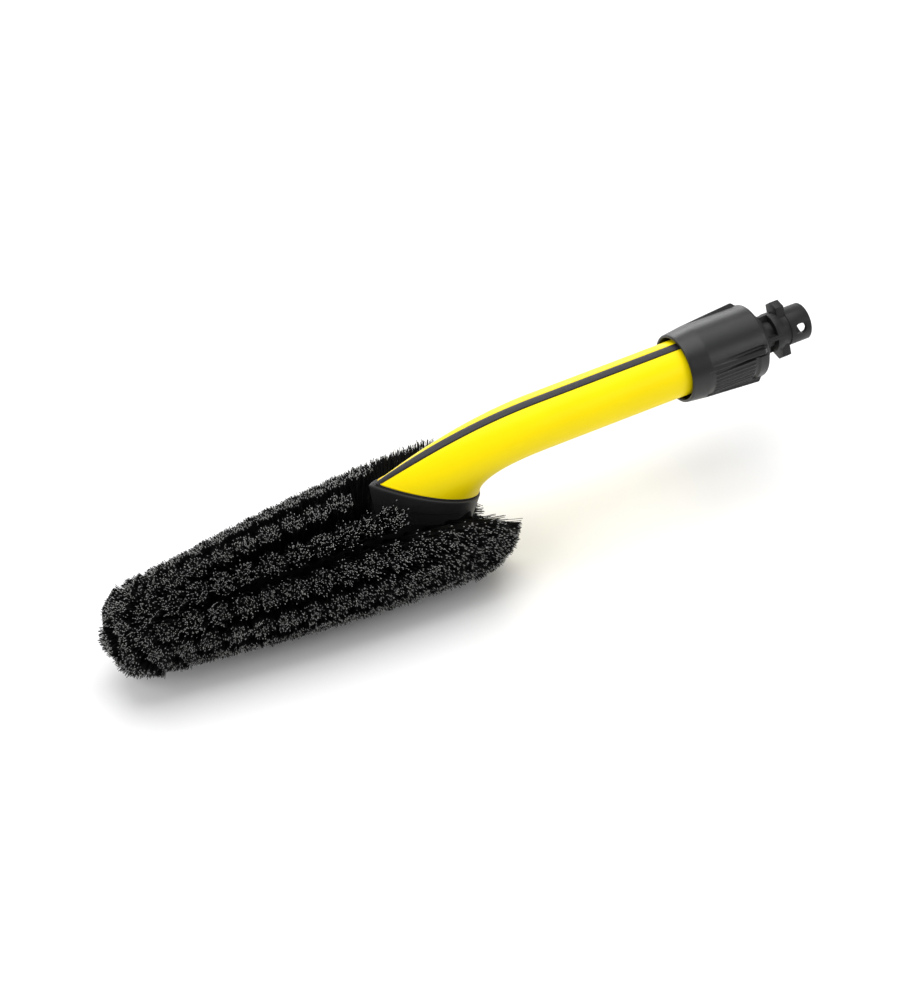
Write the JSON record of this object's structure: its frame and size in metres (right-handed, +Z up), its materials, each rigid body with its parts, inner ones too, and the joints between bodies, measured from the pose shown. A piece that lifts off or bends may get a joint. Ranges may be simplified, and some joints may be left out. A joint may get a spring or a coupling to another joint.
{
  "type": "wheel brush",
  "caption": "Water-fed brush for washing wheels: a bent yellow handle, a long oval bristle head below it, and a bayonet spigot held by a black union nut.",
  "frame": {"origin": "centre of the bounding box's footprint, at the lowest bristle ends", "axes": "+X along the handle from the bristle head towards the spigot's free end, +Y across the brush, +Z up"},
  "size_m": [0.377, 0.0782, 0.0825],
  "materials": {
    "handle": "semi-gloss moulded yellow plastic",
    "stripe": "satin dark grey inlay with a fine grain",
    "nut": "slightly glossy fine-grain black plastic",
    "slip_ring": "smooth low-friction plastic washer",
    "fitting": "satin black glass-filled plastic",
    "spigot": "satin black glass-filled plastic",
    "seal": "black nitrile rubber",
    "tube": "plain grey plastic tube, hidden inside",
    "core": "satin black plastic",
    "foot": "satin dark plastic with a fine grain",
    "screw": "plain steel, hidden inside",
    "bristle": "black filaments with frayed grey-white ends"
  },
  "bodies": {
    "brush": {"top_stripe": "stripe", "handle_left_shell": "handle", "handle_right_shell": "handle", "union_body": "fitting", "face_seal": "seal", "spigot": "spigot", "spigot_seals": "seal", "water_tube": "tube", "tube_rear_seal": "seal", "tube_front_seal": "seal", "brush_core": "core", "channel_plug": "core", "foot_gasket": "seal", "head_foot": "foot", "foot_screws": "screw", "bristle_tip": "bristle", "bristle_rear": "bristle", "bristle_row_01": "bristle", "bristle_row_02": "bristle", "bristle_row_03": "bristle", "bristle_row_04": "bristle", "bristle_row_05": "bristle", "bristle_row_06": "bristle", "bristle_row_07": "bristle", "bristle_row_08": "bristle", "bristle_row_09": "bristle", "bristle_row_10": "bristle", "bristle_row_11": "bristle", "bristle_row_12": "bristle"},
    "nut_slide": {"slip_ring": "slip_ring"},
    "nut": {"union_nut": "nut"}
  },
  "joints": [
    {"name": "nut_travel", "type": "slide", "parent": "brush", "child": "nut_slide", "axis": [1, 0, 0], "range_m": [0, 0.006]},
    {"name": "nut_turn", "type": "hinge", "parent": "nut_slide", "child": "nut", "pos_m": [0.1373, 0, 0.0645], "axis": [1, 0, 0], "range_deg": [0, 360]}
  ],
  "couplings": [
    {"joint": "nut_travel", "follows": "nut_turn", "m_per_rad": 0.000954}
  ]
}
